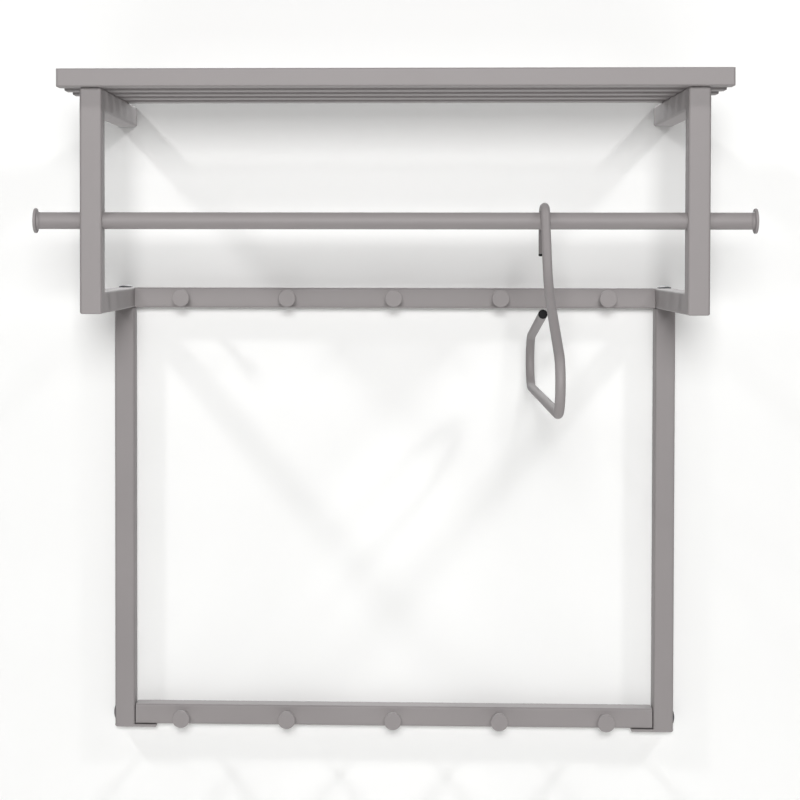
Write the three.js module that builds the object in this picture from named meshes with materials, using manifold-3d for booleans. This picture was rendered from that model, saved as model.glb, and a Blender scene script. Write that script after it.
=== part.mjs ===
// Wall-mounted coat rack of square steel tube: a slatted hat shelf on two brackets, a garment rod
// through the bracket posts, a wall frame with two peg rails below, and one hanger of bent round bar.
// Millimetres. +X right along the wall, +Y into the wall, +Z up. The wall is the plane y = 0, and
// z = 0 is the centre line of the top rail.
import * as THREE from "three";
import { mergeVertices } from "three/addons/utils/BufferGeometryUtils.js";
import Module from "manifold-3d";

// ---------------------------------------------------------------- driving dimensions

// Gap kept between pieces that touch, are welded together or are cut by each other.
const seam = 0.3;

// Square tube of the brackets and of the wall frame.
const tubeSide = 25;
const tubeWall = 1.5;
const tubeCorner = 3;

// Brackets: a post with a mitred arm above and below, both running back to the wall.
const rackWidth = 700;
const bracketDepth = 290;
const bracketHeight = 252.5;

// Wall frame: centre line of the top rail down to the centre line of the bottom rail. The bottom
// rail is bolted in with a small gap at its ends and over the tongues that carry it.
const railDrop = 525;
const railGap = 1;
const footThickness = 3;
const tongueLength = 27;

// Shelf slats: flat rectangular tube across the top arms, run out past the brackets at both ends.
const slatCount = 5;
const slatEnd = 24;
const slatDepth = 25;
const slatHeight = 20;
const slatWall = 1.2;
const slatCorner = 2;
const slatPitch = 55;
const slatOverhang = 12;

// Garment rod: round tube through both posts, with a domed stop pressed into each end.
const rodDiameter = 19;
const rodWall = 1.5;
const rodHeight = 92;
const rodOverhang = 54;
const rodPlay = 0.3;
const stopDiameter = 28;
const stopRim = 3.2;
const stopEdge = 0.8;
const stopDome = 1.2;
const stopCollar = 3.5;
const stopPlug = 14;

// Coat pegs: a turned shaft with a flat round head, welded to the face of a rail. The margin is
// from the rail's end to the middle of the first peg.
const pegCount = 5;
const pegMargin = 61;
const pegReach = 28;
const pegShaft = 12;
const pegHead = 21.5;
const pegHeadLength = 5;
const pegEdge = 0.8;

// Connector bolts with a wide domed head and a hexagon socket, and the threaded blocks they enter.
const boltShank = 6;
const boltLength = 40;
const boltHead = 17.5;
const boltHeadRim = 1;
const boltHeadDome = 1.8;
const boltPlay = 0.35;
const socketSize = 4;
const socketDepth = 1.8;
const blockLength = 18;

// Keyhole plates that close the back ends of the four arms and hang on wall screws.
const plateThickness = 3;
const keyholeHead = 10;
const keyholeSlot = 5;
const keyholeRise = 7;
const keyholeDrop = 3;

// Hanger: one round tube bent in a plane that stands square to the wall. Its lower loop is shifted
// towards the wall so that its weight hangs straight below the rod.
const barDiameter = 10.5;
const barWall = 1.2;
const hangerPlace = 168;
const hookPlay = 2.2;
const hookLeg = 34.5;
const hookLean = 28;
const neckBend = 110;
const shoulderSlope = 24;
const armSlope = 9.8;
const tipBend = 32;
const tipReach = 222;
const hangerDrop = 199;
const loopShift = 2.3;
const armReach = 18;
const capHead = 3;
const capPlug = 9;
const capEdge = 0.8;

// Facets: flats per corner of a tube, flats round a circle, and degrees per flat along a bend.
const cornerFlats = 3;
const roundFlats = 20;
const rodFlats = 32;
const barFlats = 14;
const bendStep = 15;
const domeFlats = 4;

// ---------------------------------------------------------------- sizes that follow from them

const half = tubeSide / 2;
const tubeBore = tubeSide - 2 * tubeWall;
const innerWidth = rackWidth - 2 * tubeSide;
const tubeCentre = (rackWidth - tubeSide) / 2;
const shelfLevel = bracketHeight - half;
const slatLength = rackWidth + 2 * slatEnd;
const pegPitch = (innerWidth - 2 * pegMargin) / (pegCount - 1);
const armLength = bracketDepth - plateThickness - seam;
const rodCentre = bracketDepth - half;
const uprightLength = railDrop + railGap - 2 * seam;
const footLevel = -railDrop - half - railGap - footThickness;
const plugPlay = seam;

// ---------------------------------------------------------------- finishes

const powderCoat = { color: 0x9b9594, roughness: 0.62, metalness: 0.1 };
const blackSteel = { color: 0x17171a, roughness: 0.4, metalness: 0.6 };
const blackPlastic = { color: 0x141416, roughness: 0.5, metalness: 0 };
const zincSteel = { color: 0xb8bcc0, roughness: 0.35, metalness: 0.9 };

function piece(name, geometry, finish) {
  const mesh = new THREE.Mesh(geometry, new THREE.MeshStandardMaterial(finish));
  mesh.name = name;
  return mesh;
}

// ---------------------------------------------------------------- solids

const wasm = await Module();
wasm.setup();
const mergeDistance = 1e-4;

function toSolid(geometry) {
  const bare = new THREE.BufferGeometry();
  bare.setAttribute("position", geometry.getAttribute("position"));
  bare.setIndex(geometry.index);
  const merged = mergeVertices(bare, mergeDistance);
  const vertProperties = merged.attributes.position.array;
  const triVerts = Uint32Array.from(merged.index.array);
  return new wasm.Manifold(new wasm.Mesh({ numProp: 3, vertProperties, triVerts }));
}

function toGeometry(solid) {
  const mesh = solid.getMesh();
  const geometry = new THREE.BufferGeometry();
  geometry.setAttribute("position", new THREE.BufferAttribute(mesh.vertProperties, 3));
  geometry.setIndex(new THREE.BufferAttribute(mesh.triVerts, 1));
  geometry.computeVertexNormals();
  return geometry;
}

function cut(geometry, cutters) {
  const body = cutters.reduce((rest, cutter) => rest.subtract(toSolid(cutter)), toSolid(geometry));
  return toGeometry(body);
}

// ---------------------------------------------------------------- outlines

function roundedRectangle(path, width, height, radius) {
  const x = width / 2 - radius;
  const y = height / 2 - radius;
  const quarter = Math.PI / 2;
  path.absarc(x, y, radius, 0, quarter);
  path.absarc(-x, y, radius, quarter, 2 * quarter);
  path.absarc(-x, -y, radius, 2 * quarter, 3 * quarter);
  path.absarc(x, -y, radius, 3 * quarter, 4 * quarter);
  return path;
}

function circle(path, diameter) {
  return path.absarc(0, 0, diameter / 2, 0, 2 * Math.PI);
}

// Extrudes a shape along +Z. Arcs are drawn with twice as many flats as curveSegments says.
function extrude(shape, depth, flatsPerArc) {
  const options = { depth, bevelEnabled: false, curveSegments: flatsPerArc / 2 };
  return new THREE.ExtrudeGeometry(shape, options);
}

// Tube of rectangular section along +Z, open at both ends.
function rectangularTube(width, height, wall, corner, length) {
  const shape = roundedRectangle(new THREE.Shape(), width, height, corner);
  const inner = corner - wall;
  shape.holes.push(roundedRectangle(new THREE.Path(), width - 2 * wall, height - 2 * wall, inner));
  return extrude(shape, length, 2 * Math.ceil(cornerFlats / 2));
}

function squareTube(length) {
  return rectangularTube(tubeSide, tubeSide, tubeWall, tubeCorner, length);
}

// Cuts an end of a square tube at 45 degrees. Its long side is the -Y side, and the cut is set back
// so that two mitred tubes leave the seam between them.
function mitre(geometry, length, atStart, atEnd) {
  const position = geometry.getAttribute("position");
  const setback = seam * Math.SQRT1_2;
  for (let i = 0; i < position.count; i += 1) {
    const slope = position.getY(i) + half + setback;
    const z = position.getZ(i);
    if (atStart && z < length / 2) position.setZ(i, z + slope);
    if (atEnd && z > length / 2) position.setZ(i, z - slope);
  }
  return geometry;
}

// Round tube along +Z, open at both ends.
function roundTube(diameter, wall, length, flats) {
  const shape = circle(new THREE.Shape(), diameter);
  shape.holes.push(circle(new THREE.Path(), diameter - 2 * wall));
  return extrude(shape, length, flats);
}

// Round cutter with its axis along Y, centred at a height on the Z axis.
function holeAlongY(diameter, length, z, flats = roundFlats) {
  const cutter = new THREE.CylinderGeometry(diameter / 2, diameter / 2, length, flats);
  return cutter.translate(0, 0, z);
}

function holeAlongX(diameter, length, z, flats = roundFlats) {
  const cutter = new THREE.CylinderGeometry(diameter / 2, diameter / 2, length, flats);
  return cutter.rotateZ(Math.PI / 2).translate(0, 0, z);
}

// Solid of revolution about +Y from [radius, height] corners listed from the bottom up. It starts
// and ends on the axis.
function turned(corners, flats = roundFlats) {
  const profile = corners.map(([radius, height]) => new THREE.Vector2(radius, height));
  return new THREE.LatheGeometry(profile, flats);
}

// Corners of a shallow dome, from its edge up to the axis.
function dome(radius, base, rise) {
  return Array.from({ length: domeFlats + 1 }, (_, i) => {
    const share = 1 - i / domeFlats;
    return [radius * share, base + rise * (1 - share ** 2)];
  });
}

// ---------------------------------------------------------------- brackets

function postGeometry() {
  const tube = mitre(squareTube(bracketHeight), bracketHeight, true, true);
  const hole = holeAlongX(rodDiameter + 2 * rodPlay, 2 * tubeSide, rodHeight + half, rodFlats);
  return cut(tube, [hole]);
}

function armGeometry() {
  return mitre(squareTube(armLength), armLength, true, false);
}

// Bottom arm with the clearance hole of the bolt that goes down into the upright.
function boltedArmGeometry() {
  const hole = holeAlongY(boltShank + 2 * boltPlay, 2 * tubeSide, bracketDepth - half);
  return cut(armGeometry(), [hole]);
}

// The screw head enters the round hole, and the rack drops until the screw sits in the slot above.
function keyholePlateGeometry() {
  const shape = roundedRectangle(new THREE.Shape(), tubeSide, tubeSide, tubeCorner);
  const reach = keyholeHead / 2;
  const slot = keyholeSlot / 2;
  const open = Math.asin(slot / reach);
  const keyhole = new THREE.Path();
  keyhole.absarc(0, -keyholeDrop, reach, Math.PI / 2 - open, -1.5 * Math.PI + open, true);
  keyhole.absarc(0, keyholeRise - keyholeDrop, slot, Math.PI, 0, true);
  shape.holes.push(keyhole);
  return extrude(shape, plateThickness, roundFlats / 2);
}

// side is -1 for the left bracket and +1 for the right one.
function bracket(side, word) {
  const group = new THREE.Group();
  const x = side * tubeCentre;

  const post = piece(`post_${word}`, postGeometry(), powderCoat);
  post.position.set(x, -bracketDepth + half, -half);
  group.add(post);

  const topArm = piece(`top_arm_${word}`, armGeometry(), powderCoat);
  topArm.rotation.set(-Math.PI / 2, 0, 0);
  topArm.position.set(x, -bracketDepth, shelfLevel - half);
  group.add(topArm);

  const bottomArm = piece(`bottom_arm_${word}`, boltedArmGeometry(), powderCoat);
  bottomArm.rotation.set(-Math.PI / 2, 0, Math.PI);
  bottomArm.position.set(x, -bracketDepth, 0);
  group.add(bottomArm);

  for (const [level, z] of [["upper", shelfLevel - half], ["lower", 0]]) {
    const plate = piece(`keyhole_plate_${level}_${word}`, keyholePlateGeometry(), powderCoat);
    plate.rotation.x = Math.PI / 2;
    plate.position.set(x, 0, z);
    group.add(plate);
  }
  return group;
}

// ---------------------------------------------------------------- shelf

function slat(number) {
  const group = new THREE.Group();
  const tubeLength = slatLength - 2 * (slatWall + seam);
  const tube = rectangularTube(slatHeight, slatDepth, slatWall, slatCorner, tubeLength);
  const body = piece(`slat_${number}`, tube, powderCoat);
  body.rotation.y = Math.PI / 2;
  body.position.x = -tubeLength / 2;
  group.add(body);

  const outline = roundedRectangle(new THREE.Shape(), slatHeight, slatDepth, slatCorner);
  for (const [word, start] of [["left", -slatLength / 2], ["right", slatLength / 2 - slatWall]]) {
    const cap = extrude(outline, slatWall, 2 * Math.ceil(cornerFlats / 2));
    const end = piece(`slat_${number}_end_${word}`, cap, powderCoat);
    end.rotation.y = Math.PI / 2;
    end.position.x = start;
    group.add(end);
  }
  return group;
}

// Slat 1 is the front one. It stands a little in front of the posts.
function shelf() {
  const group = new THREE.Group();
  const front = -bracketDepth - slatOverhang + slatDepth / 2;
  for (let i = 0; i < slatCount; i += 1) {
    const row = slat(i + 1);
    row.position.set(0, front + i * slatPitch, shelfLevel + seam + slatHeight / 2);
    group.add(row);
  }
  return group;
}

// ---------------------------------------------------------------- rails, uprights and pegs

function pegGeometry() {
  const shaft = pegShaft / 2;
  const head = pegHead / 2;
  const neck = pegReach - pegHeadLength;
  return turned([
    [0, seam],
    [shaft, seam],
    [shaft, neck],
    [head - pegEdge, neck],
    [head, neck + pegEdge],
    [head, pegReach - pegEdge],
    [head - pegEdge, pegReach],
    [0, pegReach],
  ]);
}

// Rail with its pegs, at a level, with a gap at each end.
function rail(name, level, gap) {
  const group = new THREE.Group();
  const length = innerWidth - 2 * gap;
  const tube = piece(`${name}_rail`, squareTube(length), powderCoat);
  tube.rotation.y = Math.PI / 2;
  tube.position.set(-length / 2, -half, 0);
  group.add(tube);

  for (let i = 0; i < pegCount; i += 1) {
    const peg = piece(`${name}_peg_${i + 1}`, pegGeometry(), powderCoat);
    peg.rotation.z = Math.PI;
    peg.position.set((i - (pegCount - 1) / 2) * pegPitch, -tubeSide, 0);
    group.add(peg);
  }
  group.position.z = level;
  return group;
}

// Threaded block set into the open end of a square tube. Its length runs along +Z.
function threadedBlockGeometry() {
  const side = tubeBore - 2 * plugPlay;
  const corner = tubeCorner - tubeWall;
  const shape = roundedRectangle(new THREE.Shape(), side, side, corner);
  shape.holes.push(circle(new THREE.Path(), boltShank + 2 * boltPlay));
  return extrude(shape, blockLength, roundFlats / 2);
}

// Plate under the upright. Its tongue runs on below the end of the bottom rail and carries it.
function footGeometry() {
  const width = tubeSide + tongueLength;
  const shape = roundedRectangle(new THREE.Shape(), width, tubeSide, tubeCorner);
  return extrude(shape, footThickness, 2 * Math.ceil(cornerFlats / 2));
}

// Connector bolt along +Y: the shank goes down from y = 0, and the head stands on y = 0.
function boltGeometry() {
  const shank = boltShank / 2;
  const head = boltHead / 2;
  const body = turned([
    [0, -boltLength],
    [shank, -boltLength],
    [shank, seam],
    [head, seam],
    ...dome(head, boltHeadRim, boltHeadDome),
  ]);
  const socket = new THREE.CylinderGeometry(
    socketSize / Math.sqrt(3),
    socketSize / Math.sqrt(3),
    2 * socketDepth,
    6,
  );
  return cut(body, [socket.translate(0, boltHeadRim + boltHeadDome, 0)]);
}

// Upright with its foot, its threaded block and the two bolts that join it to the arm and the rail.
function upright(side, word) {
  const group = new THREE.Group();
  const boltPlace = railGap - seam + half;

  const tube = cut(squareTube(uprightLength), [
    holeAlongX(boltShank + 2 * boltPlay, 2 * tubeSide, boltPlace),
  ]);
  const post = piece(`upright_${word}`, tube, powderCoat);
  post.position.z = -half - seam - uprightLength;
  group.add(post);

  const foot = piece(`foot_plate_${word}`, footGeometry(), powderCoat);
  foot.position.set((-side * tongueLength) / 2, 0, footLevel);
  group.add(foot);

  const block = piece(`upright_block_${word}`, threadedBlockGeometry(), zincSteel);
  block.position.z = -half - seam - blockLength;
  group.add(block);

  const armBolt = piece(`arm_bolt_${word}`, boltGeometry(), blackSteel);
  armBolt.position.z = half;
  armBolt.rotation.x = Math.PI / 2;
  group.add(armBolt);

  const railBolt = piece(`rail_bolt_${word}`, boltGeometry(), blackSteel);
  railBolt.position.set(side * half, 0, -railDrop);
  railBolt.rotation.z = (-side * Math.PI) / 2;
  group.add(railBolt);

  const railBlock = piece(`rail_block_${word}`, threadedBlockGeometry(), zincSteel);
  railBlock.rotation.y = (-side * Math.PI) / 2;
  railBlock.position.set(-side * (half + railGap), 0, -railDrop);
  group.add(railBlock);

  group.position.set(side * tubeCentre, -half, 0);
  return group;
}

// ---------------------------------------------------------------- garment rod

// Domed stop along +Y: a plug inside the rod, a collar flush with the rod and a domed disc.
function rodStopGeometry() {
  const plug = rodDiameter / 2 - rodWall - plugPlay;
  const collar = rodDiameter / 2;
  const disc = stopDiameter / 2;
  const face = stopCollar + stopRim;
  return turned(
    [
      [0, -stopPlug],
      [plug, -stopPlug],
      [plug, seam],
      [collar, seam],
      [collar, stopCollar],
      [disc - stopEdge, stopCollar],
      [disc, stopCollar + stopEdge],
      [disc, face - stopEdge],
      ...dome(disc - stopEdge, face, stopDome),
    ],
    rodFlats,
  );
}

function garmentRod() {
  const group = new THREE.Group();
  const stopLength = stopCollar + stopRim + stopDome;
  const length = rackWidth + 2 * (rodOverhang - stopLength);
  const tube = roundTube(rodDiameter, rodWall, length, rodFlats);
  const rod = piece("garment_rod", tube, powderCoat);
  rod.rotation.y = Math.PI / 2;
  rod.position.x = -length / 2;
  group.add(rod);

  for (const [word, side] of [["left", -1], ["right", 1]]) {
    const stop = piece(`rod_stop_${word}`, rodStopGeometry(), powderCoat);
    stop.rotation.z = (-side * Math.PI) / 2;
    stop.position.x = (side * length) / 2;
    group.add(stop);
  }
  group.position.set(0, -rodCentre, rodHeight);
  return group;
}

// ---------------------------------------------------------------- hanger

const degrees = Math.PI / 180;

// Point where two lines meet, each given by a point and its heading in radians.
function meet(a, headingA, b, headingB) {
  const directionA = new THREE.Vector2(Math.cos(headingA), Math.sin(headingA));
  const directionB = new THREE.Vector2(Math.cos(headingB), Math.sin(headingB));
  const between = b.clone().sub(a);
  const along = between.cross(directionB) / directionA.cross(directionB);
  return a.clone().addScaledVector(directionA, along);
}

// Stations along one bend, from one angle of its circle to another, in radians.
function bend(centre, radius, from, to) {
  const steps = Math.ceil(Math.abs(to - from) / (bendStep * degrees));
  return Array.from({ length: steps + 1 }, (_, i) => {
    const angle = from + ((to - from) * i) / steps;
    const at = new THREE.Vector2(Math.cos(angle), Math.sin(angle)).multiplyScalar(radius).add(centre);
    return { at, heading: angle + (Math.sign(to - from) * Math.PI) / 2 };
  });
}

// The bar's centre line, in a plane with x away from the wall and y up, from the rod's centre. It
// runs from the hook's back leg over the rod, down the front shoulder, round the front tip, back
// along the bottom, round the back tip and up the back arm to its open end.
function hangerStations() {
  const hookBend = (rodDiameter + barDiameter) / 2 + hookPlay;
  const hook = new THREE.Vector2(0, -hookPlay + seam);
  const overRod = bend(hook, hookBend, Math.PI, hookLean * degrees);
  const hookStart = overRod[0];
  const legEnd = hookStart.at.clone().sub(new THREE.Vector2(0, hookLeg));

  const tipCentre = tipReach - tipBend;
  const frontCentre = new THREE.Vector2(tipCentre - loopShift, tipBend - hangerDrop);
  const backCentre = new THREE.Vector2(-tipCentre - loopShift, tipBend - hangerDrop);
  const tipStart = (90 - shoulderSlope) * degrees;
  const frontTip = bend(frontCentre, tipBend, tipStart, -90 * degrees);
  const armStart = (90 + armSlope - 360) * degrees;
  const backTip = bend(backCentre, tipBend, -90 * degrees, armStart);

  const neck = overRod.at(-1);
  const shoulder = frontTip[0];
  const corner = meet(neck.at, neck.heading, shoulder.at, shoulder.heading);
  const halfTurn = (90 - hookLean - shoulderSlope) * 0.5 * degrees;
  const inward = neck.heading + halfTurn + Math.PI / 2;
  const outset = neckBend / Math.cos(halfTurn);
  const neckCentre = new THREE.Vector2(Math.cos(inward), Math.sin(inward))
    .multiplyScalar(outset)
    .add(corner);
  const middle = inward - Math.PI;
  const neckCurve = bend(neckCentre, neckBend, middle - halfTurn, middle + halfTurn);

  const arm = backTip.at(-1);
  const run = (-armReach - arm.at.x) / Math.cos(arm.heading);
  const armEnd = arm.at
    .clone()
    .add(new THREE.Vector2(Math.cos(arm.heading), Math.sin(arm.heading)).multiplyScalar(run));
  return [
    { at: legEnd, heading: hookStart.heading },
    ...overRod,
    ...neckCurve,
    ...frontTip,
    ...backTip,
    { at: armEnd, heading: arm.heading },
  ];
}

// Stations as a curve in the plane x = 0 of the rack's own axes. Its parameter counts stations, so
// straight stretches take one step and bends take many.
class BentBar extends THREE.Curve {
  constructor(stations) {
    super();
    this.stations = stations;
  }

  static place(vector) {
    return new THREE.Vector3(0, -vector.x, vector.y);
  }

  getUtoTmapping(u) {
    return u;
  }

  getPoint(t) {
    const place = t * (this.stations.length - 1);
    const before = Math.min(Math.floor(place), this.stations.length - 2);
    const from = this.stations[before].at;
    const to = this.stations[before + 1].at;
    return BentBar.place(from.clone().lerp(to, place - before));
  }

  getTangent(t) {
    const { heading } = this.stations[Math.round(t * (this.stations.length - 1))];
    return BentBar.place(new THREE.Vector2(Math.cos(heading), Math.sin(heading)));
  }
}

function hangerBarGeometry(stations) {
  const shape = circle(new THREE.Shape(), barDiameter);
  shape.holes.push(circle(new THREE.Path(), barDiameter - 2 * barWall));
  return new THREE.ExtrudeGeometry(shape, {
    extrudePath: new BentBar(stations),
    steps: stations.length - 1,
    curveSegments: barFlats / 2,
  });
}

// End cap along +Y: a plug inside the bar and a head flush with the bar.
function barCapGeometry() {
  const plug = barDiameter / 2 - barWall - plugPlay;
  const head = barDiameter / 2;
  return turned(
    [
      [0, -capPlug],
      [plug, -capPlug],
      [plug, seam],
      [head, seam],
      [head, capHead - capEdge],
      [head - capEdge, capHead],
      [0, capHead],
    ],
    barFlats,
  );
}

function barCap(name, { at, heading }) {
  const cap = piece(name, barCapGeometry(), blackPlastic);
  const outward = BentBar.place(new THREE.Vector2(Math.cos(heading), Math.sin(heading)));
  cap.quaternion.setFromUnitVectors(new THREE.Vector3(0, 1, 0), outward);
  cap.position.copy(BentBar.place(at));
  return cap;
}

function hanger() {
  const group = new THREE.Group();
  const stations = hangerStations();
  const [first] = stations;
  group.add(piece("hanger_bar", hangerBarGeometry(stations), powderCoat));
  group.add(barCap("hanger_cap_hook", { at: first.at, heading: first.heading + Math.PI }));
  group.add(barCap("hanger_cap_arm", stations.at(-1)));
  group.position.set(hangerPlace, -rodCentre, rodHeight);
  return group;
}

// ---------------------------------------------------------------- the rack

function coatRack() {
  const rack = new THREE.Group();
  rack.add(shelf());
  rack.add(rail("top", 0, seam));
  rack.add(rail("bottom", -railDrop, railGap));
  for (const [word, side] of [["left", -1], ["right", 1]]) {
    rack.add(bracket(side, word));
    rack.add(upright(side, word));
  }
  rack.add(garmentRod());
  rack.add(hanger());
  return rack;
}

export default coatRack();
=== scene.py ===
"""Coat rack of square steel tube with a slatted hat shelf, a garment rod, peg rails and a hanger.

Lengths in the classes are millimetres. Every mesh is in metres, with +X right along the wall,
+Y into the wall, +Z up and the origin at the back of the top rail's middle.
"""

import logging
import math
from collections.abc import Callable, Iterable, Sequence
from dataclasses import dataclass, field
from enum import Enum
from typing import Any

import bmesh
import bpy
from mathutils import Matrix, Vector


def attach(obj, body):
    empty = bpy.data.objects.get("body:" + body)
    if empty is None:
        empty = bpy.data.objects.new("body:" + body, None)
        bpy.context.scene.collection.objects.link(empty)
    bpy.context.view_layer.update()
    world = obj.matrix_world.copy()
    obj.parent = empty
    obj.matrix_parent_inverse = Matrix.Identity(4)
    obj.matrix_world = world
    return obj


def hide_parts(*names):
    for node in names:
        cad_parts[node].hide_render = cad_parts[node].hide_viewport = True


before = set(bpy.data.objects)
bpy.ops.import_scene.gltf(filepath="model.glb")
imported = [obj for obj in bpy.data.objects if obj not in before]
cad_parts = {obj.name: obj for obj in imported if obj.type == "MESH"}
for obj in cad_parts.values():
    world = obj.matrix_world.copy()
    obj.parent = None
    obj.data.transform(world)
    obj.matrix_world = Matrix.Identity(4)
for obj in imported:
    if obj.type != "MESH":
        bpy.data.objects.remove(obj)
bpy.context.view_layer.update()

LOG = logging.getLogger("coat_rack")
MM = 0.001
WELD_DISTANCE = 1e-6
SHARP_ANGLE = math.radians(32)
ROUNDED_ANGLE = math.radians(40)
ROUNDING_SEGMENTS = 2
CORNER_FLATS = 6
HEXAGON = 6
RIGHT_ANGLE = math.radians(90)
SRGB_KNEE = 0.04045
SRGB_SLOPE = 12.92
SRGB_OFFSET = 0.055
SRGB_POWER = 2.4
# Colour sockets of a Mix node, which gives every data type's sockets the same names.
MIX_A, MIX_B, MIX_RESULT = 6, 7, 2

Point = tuple[float, float]
Place = tuple[float, float, float]
Heading = tuple[Point, float]
Spot = Callable[[float, float], Vector]


class Slot(Enum):
    """Material slots of the record."""

    POWDER_COAT = "powder_coat"
    BLACK_BOLT = "black_bolt"
    BLACK_CAP = "black_cap"


class Body(Enum):
    """Rigid bodies of the record."""

    RACK = "rack"
    ROD = "rod"
    HANGER = "hanger"


class Side(Enum):
    """The two ends of the rack, as signs along X."""

    LEFT = -1
    RIGHT = 1

    @property
    def word(self) -> str:
        """The side's name in the CAD nodes."""
        return self.name.lower()


class Row(Enum):
    """The two peg rails."""

    TOP = "top"
    BOTTOM = "bottom"


class Axis(Enum):
    """Axes that holes are drilled along."""

    X = "X"
    Z = "Z"


class Merge(Enum):
    """Ways to work one solid into another."""

    WELD = "UNION"
    CUT = "DIFFERENCE"


# ------------------------------------------------------------------------------ nodes


def linear(colour: str) -> tuple[float, float, float, float]:
    """Turns an sRGB hex colour to linear.

    Args:
        colour: six hex digits with a leading hash.

    Returns:
        Linear red, green, blue and an alpha of 1.
    """
    channels = [int(colour[i : i + 2], 16) / 255 for i in (1, 3, 5)]
    red, green, blue = [
        c / SRGB_SLOPE if c <= SRGB_KNEE else ((c + SRGB_OFFSET) / (1 + SRGB_OFFSET)) ** SRGB_POWER
        for c in channels
    ]
    return red, green, blue, 1.0


def add_node(
    tree: bpy.types.NodeTree,
    kind: str,
    inputs: dict[Any, Any] | None = None,
    **settings: Any,
) -> bpy.types.Node:
    """Adds a node to a tree with its settings and links.

    Args:
        tree: the shader or geometry tree.
        kind: the node's bl_idname.
        inputs: input name or number to a value, or to the output socket that feeds it.
        settings: the node's own properties.

    Returns:
        The new node.
    """
    node = tree.nodes.new(kind)
    for name, value in settings.items():
        setattr(node, name, value)
    for key, value in (inputs or {}).items():
        if isinstance(value, bpy.types.NodeSocket):
            tree.links.new(value, node.inputs[key])
        else:
            node.inputs[key].default_value = value
    return node


# ------------------------------------------------------------------------------ finishes


@dataclass(frozen=True)
class PowderCoat:
    """Fine-texture polyester powder, sprayed and stoved on steel.

    The baked film is dull and even. It has a fine orange peel that breaks up highlights, and it
    is a shade thicker or thinner from place to place, which moves its tone and gloss a little.
    The real grain is about 0.3 mm and is drawn at 0.6 mm so that it shows in a close view.
    """

    name: str = "powder_coated_steel_warm_grey"
    base: str = "#8E8989"
    thin: str = "#898484"
    roughness: float = 0.56
    gloss_spread: float = 0.05
    grain_mm: float = 0.6
    grain_height_mm: float = 0.05
    grain_detail: float = 2.0
    relief: float = 0.35
    cloud_mm: float = 60.0
    cloud_detail: float = 3.0
    cloud_roughness: float = 0.6
    ior: float = 1.5

    def material(self) -> bpy.types.Material:
        """Builds the shader.

        Returns:
            The material.
        """
        material, tree, shader = new_material(self.name)
        place = add_node(tree, "ShaderNodeTexCoord").outputs["Object"]
        grain = add_node(
            tree,
            "ShaderNodeTexNoise",
            {"Vector": place, "Scale": 1 / (self.grain_mm * MM), "Detail": self.grain_detail},
        )
        cloud = add_node(
            tree,
            "ShaderNodeTexNoise",
            {
                "Vector": place,
                "Scale": 1 / (self.cloud_mm * MM),
                "Detail": self.cloud_detail,
                "Roughness": self.cloud_roughness,
            },
        )
        tone = add_node(
            tree,
            "ShaderNodeMix",
            {
                "Factor": cloud.outputs["Fac"],
                MIX_A: linear(self.thin),
                MIX_B: linear(self.base),
            },
            data_type="RGBA",
        )
        gloss = add_node(
            tree,
            "ShaderNodeMapRange",
            {
                "Value": cloud.outputs["Fac"],
                "To Min": self.roughness - self.gloss_spread,
                "To Max": self.roughness + self.gloss_spread,
            },
        )
        relief = add_node(
            tree,
            "ShaderNodeBump",
            {
                "Strength": self.relief,
                "Distance": self.grain_height_mm * MM,
                "Height": grain.outputs["Fac"],
            },
        )
        tree.links.new(tone.outputs[MIX_RESULT], shader.inputs["Base Color"])
        tree.links.new(gloss.outputs["Result"], shader.inputs["Roughness"])
        tree.links.new(relief.outputs["Normal"], shader.inputs["Normal"])
        shader.inputs["IOR"].default_value = self.ior
        return material


@dataclass(frozen=True)
class BlackOxide:
    """Hot-blackened, oiled screw steel.

    The conversion layer leaves the metal's sheen under a blue-black tone, broken by faint marks
    as fine as the 0.25 mm feed of the tool that turned the head.
    """

    name: str = "black_oxide_screw_steel"
    base: str = "#26272A"
    worn: str = "#34353A"
    roughness: float = 0.38
    metallic: float = 0.85
    feed_mm: float = 0.25
    mark_height_mm: float = 0.02
    mark_detail: float = 3.0
    relief: float = 0.2

    def material(self) -> bpy.types.Material:
        """Builds the shader.

        Returns:
            The material.
        """
        material, tree, shader = new_material(self.name)
        place = add_node(tree, "ShaderNodeTexCoord").outputs["Object"]
        marks = add_node(
            tree,
            "ShaderNodeTexNoise",
            {"Vector": place, "Scale": 1 / (self.feed_mm * MM), "Detail": self.mark_detail},
        )
        tone = add_node(
            tree,
            "ShaderNodeMix",
            {
                "Factor": marks.outputs["Fac"],
                MIX_A: linear(self.base),
                MIX_B: linear(self.worn),
            },
            data_type="RGBA",
        )
        relief = add_node(
            tree,
            "ShaderNodeBump",
            {
                "Strength": self.relief,
                "Distance": self.mark_height_mm * MM,
                "Height": marks.outputs["Fac"],
            },
        )
        tree.links.new(tone.outputs[MIX_RESULT], shader.inputs["Base Color"])
        tree.links.new(relief.outputs["Normal"], shader.inputs["Normal"])
        shader.inputs["Metallic"].default_value = self.metallic
        shader.inputs["Roughness"].default_value = self.roughness
        return material


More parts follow.
